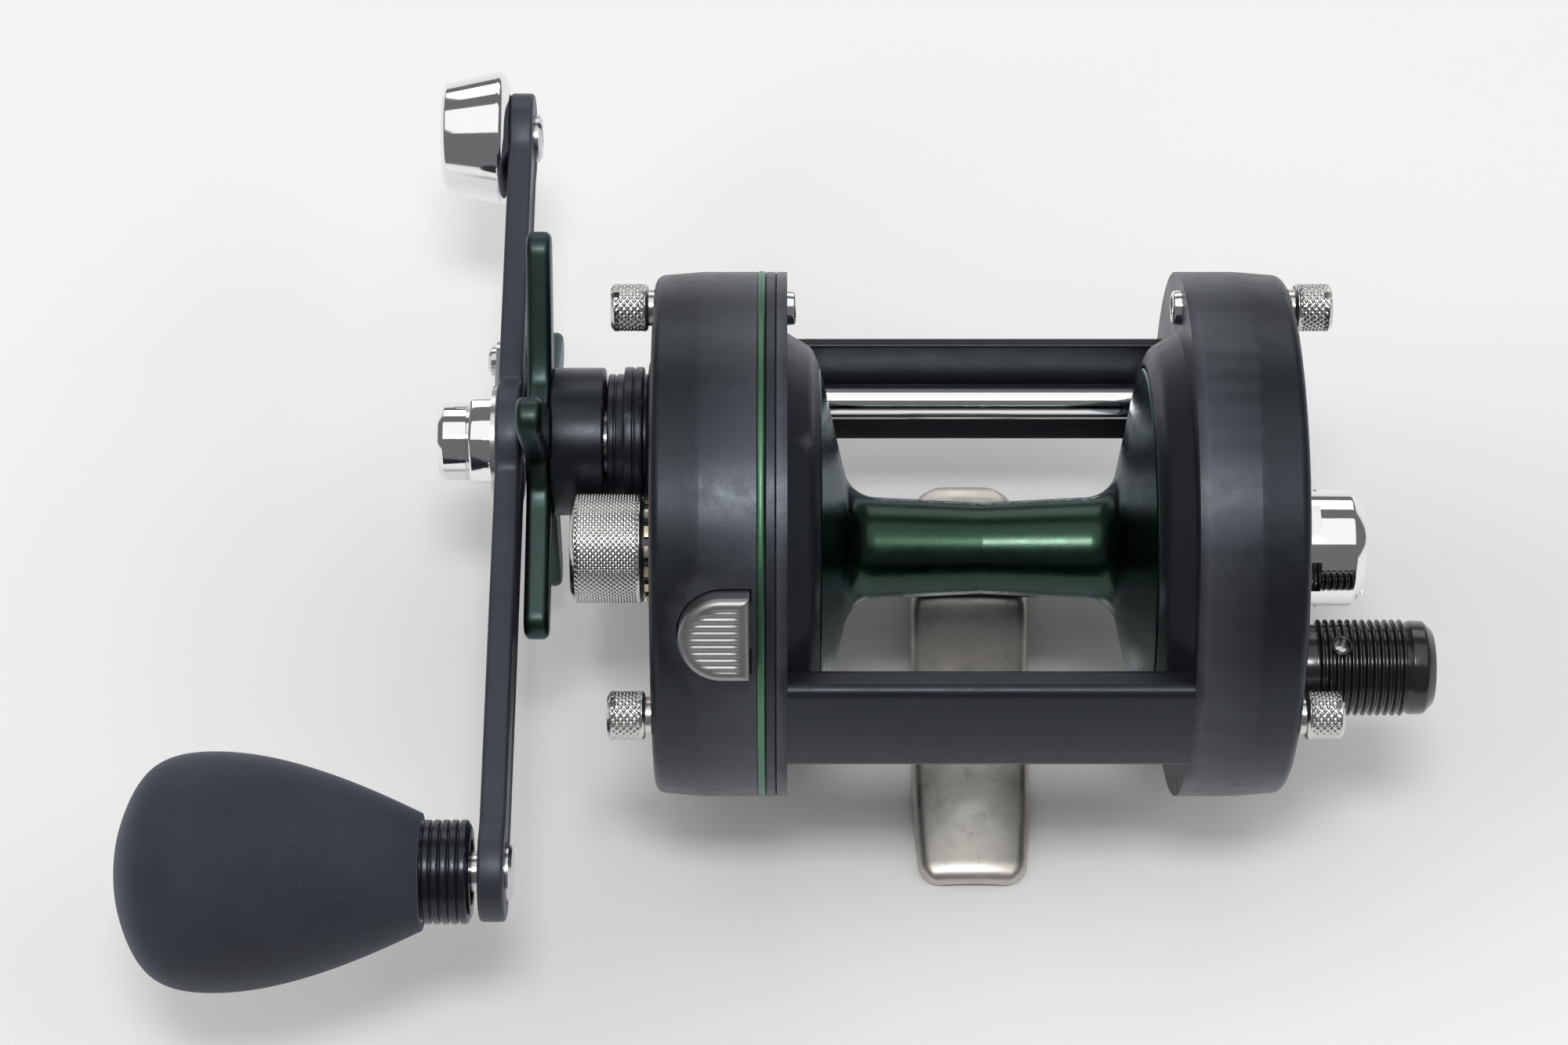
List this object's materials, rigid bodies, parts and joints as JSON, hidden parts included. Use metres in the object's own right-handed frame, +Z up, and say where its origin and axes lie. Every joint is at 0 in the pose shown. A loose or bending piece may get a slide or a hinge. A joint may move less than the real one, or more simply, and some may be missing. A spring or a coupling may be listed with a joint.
{
  "type": "trolling reel",
  "caption": "Round multiplier trolling reel with a waisted spool, star drag, counterbalanced power handle, free-spool thumb button and magnetic brake.",
  "frame": {"origin": "under the middle of the reel, on the plane that the foot's sole stands on", "axes": "+X along the spool's axis from the handle side to the palm side, +Y to the front, where the line leaves, +Z up, away from the rod"},
  "size_m": [0.162, 0.1336, 0.0734],
  "materials": {
    "black_anodised": "fine satin black anodised aluminium",
    "black_housing": "satin black anodised, turned",
    "green_anodised": "deep green anodised aluminium, bright",
    "star_green": "dark green anodised aluminium, satin",
    "arm_black": "blue-black anodised aluminium plate",
    "foot_metal": "worn satin nickel on stamped metal",
    "polished_chrome": "mirror-polished chrome",
    "knurled_steel": "bright knurled steel",
    "button_metal": "satin silver, ribbed",
    "bearing_steel": "ground bearing steel",
    "spring_steel": "drawn spring steel",
    "gear_bronze": "machined bronze",
    "brass": "bright brass",
    "friction_fibre": "dark woven friction fibre",
    "grip_foam": "fine closed-cell black foam",
    "ferrule_black": "gloss black turned aluminium",
    "knob_black": "gloss black, ribbed",
    "magnet_nickel": "nickel-plated magnet"
  },
  "bodies": {
    "frame": {"cage": "black_anodised", "front_rod": "polished_chrome", "front_rod_screws": "bearing_steel", "reel_foot": "foot_metal", "foot_rivets": "bearing_steel", "screw_bushes": "polished_chrome", "bridge_plate": "black_anodised", "trim_ring": "green_anodised", "gear_cover": "black_anodised", "palm_cover": "black_anodised", "gear_side_thumb_screws": "knurled_steel", "palm_side_thumb_screws": "knurled_steel", "tension_click_ring": "brass", "gear_side_spool_bearing": "bearing_steel", "palm_side_spool_bearing": "bearing_steel", "palm_cap": "polished_chrome", "shaft_housing": "black_housing", "drive_shaft_bearing": "bearing_steel", "shaft_bush": "brass", "yoke_posts": "bearing_steel", "yoke_springs": "spring_steel", "dog_pivot": "bearing_steel"},
    "spool": {"spool": "green_anodised", "spool_shaft": "bearing_steel", "spool_cross_pin": "bearing_steel"},
    "tension_cap": {"tension_knob": "knurled_steel", "tension_shim": "gear_bronze"},
    "crank": {"drive_shaft": "bearing_steel", "ratchet_wheel": "bearing_steel", "main_gear": "gear_bronze", "drag_washers": "friction_fibre", "drag_plates": "bearing_steel", "pressure_sleeve": "bearing_steel", "spring_washers": "spring_steel", "handle_arm": "arm_black", "handle_nut": "polished_chrome", "nut_retainer": "bearing_steel", "retainer_screw": "bearing_steel", "counterweight": "polished_chrome", "counterweight_screw": "bearing_steel", "knob_spindle": "bearing_steel"},
    "star": {"star_wheel": "star_green", "star_collar": "black_housing", "star_nut": "brass"},
    "knob": {"knob_ferrule": "ferrule_black", "knob_bearings": "bearing_steel", "knob_grip": "grip_foam"},
    "yoke": {"yoke": "spring_steel"},
    "pinion": {"pinion": "gear_bronze"},
    "button": {"free_spool_button": "button_metal", "release_slide": "spring_steel"},
    "dog": {"anti_reverse_dog": "spring_steel"},
    "brake_knob": {"brake_knob": "knob_black", "brake_grub_screw": "bearing_steel", "brake_spindle": "brass"},
    "magnet_carrier": {"magnet_carrier": "bearing_steel", "magnets": "magnet_nickel"}
  },
  "joints": [
    {"name": "crank_turn", "type": "hinge", "parent": "frame", "child": "crank", "pos_m": [-0.045, 0.0152, 0.0376], "axis": [1, 0, 0], "continuous": true},
    {"name": "spool_turn", "type": "hinge", "parent": "frame", "child": "spool", "pos_m": [0, -0.0021, 0.04], "axis": [1, 0, 0], "continuous": true},
    {"name": "knob_turn", "type": "hinge", "parent": "crank", "child": "knob", "pos_m": [-0.08, -0.0462, 0.0376], "axis": [1, 0, 0], "continuous": true},
    {"name": "star_turn", "type": "hinge", "parent": "crank", "child": "star", "pos_m": [-0.056, 0.0152, 0.0376], "axis": [1, 0, 0], "range_deg": [-180, 180]},
    {"name": "tension_turn", "type": "hinge", "parent": "frame", "child": "tension_cap", "pos_m": [-0.047, -0.0021, 0.04], "axis": [1, 0, 0], "range_deg": [-180, 180]},
    {"name": "button_press", "type": "slide", "parent": "frame", "child": "button", "axis": [0, 0.7738, -0.6334], "range_m": [0, 0.0022]},
    {"name": "yoke_lift", "type": "slide", "parent": "frame", "child": "yoke", "axis": [-1, 0, 0], "range_m": [0, 0.0015], "deforming": ["yoke_springs"]},
    {"name": "pinion_slide", "type": "slide", "parent": "spool", "child": "pinion", "axis": [-1, 0, 0], "range_m": [0, 0.0015]},
    {"name": "dog_swing", "type": "hinge", "parent": "frame", "child": "dog", "pos_m": [-0.031, 0.008, 0.02], "axis": [1, 0, 0], "range_deg": [0, 12]},
    {"name": "brake_turn", "type": "hinge", "parent": "frame", "child": "brake_knob", "pos_m": [0.045, -0.02039, 0.04214], "axis": [1, 0, 0], "range_deg": [0, 270]},
    {"name": "magnet_slide", "type": "slide", "parent": "frame", "child": "magnet_carrier", "axis": [-1, 0, 0], "range_m": [0, 0.0027]}
  ],
  "couplings": [
    {"joint": "spool_turn", "follows": "crank_turn", "ratio": -4},
    {"joint": "yoke_lift", "follows": "button_press", "ratio": 0.68182},
    {"joint": "pinion_slide", "follows": "button_press", "ratio": 0.68182},
    {"joint": "brake_turn", "follows": "magnet_slide", "rad_per_m": 1745.3}
  ]
}
